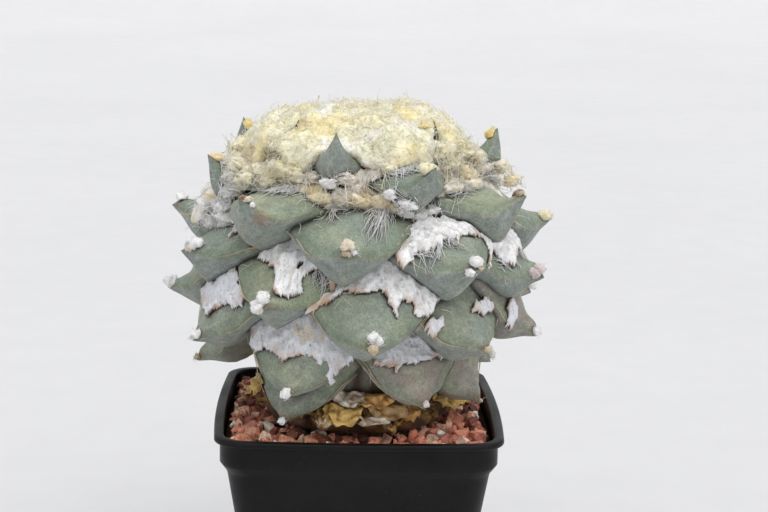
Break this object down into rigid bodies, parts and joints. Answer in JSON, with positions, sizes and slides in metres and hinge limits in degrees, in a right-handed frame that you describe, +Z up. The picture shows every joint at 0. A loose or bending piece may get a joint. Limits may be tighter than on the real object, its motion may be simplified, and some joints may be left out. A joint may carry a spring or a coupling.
{
  "type": "potted ariocarpus rostratus",
  "caption": "Rosette cactus of beaked three-sided tubercles with a woolly crown, growing in a square tapered nursery pot topped with lava grit.",
  "frame": {"origin": "centre of the pot's underside, on the surface it stands on", "axes": "+Z up; -Y is the front of the pot as pictured, +X to its right, both square to the pot's sides"},
  "size_m": [0.1257, 0.1226, 0.1817],
  "materials": {
    "pot_plastic": "satin black moulded plastic with a little dust",
    "soil": "dark mineral potting soil",
    "lava_grit": "rough red-brown lava grit",
    "plant_skin": "matt waxy grey-green skin with paler edges",
    "wool": "fine cream plant wool",
    "dried_skin": "dry wrinkled ochre skin"
  },
  "bodies": {
    "root": {"pot": "pot_plastic", "soil": "soil", "grit": "lava_grit", "plant": "plant_skin", "crown_wool": "wool", "dried_tubercles": "dried_skin"}
  },
  "joints": []
}
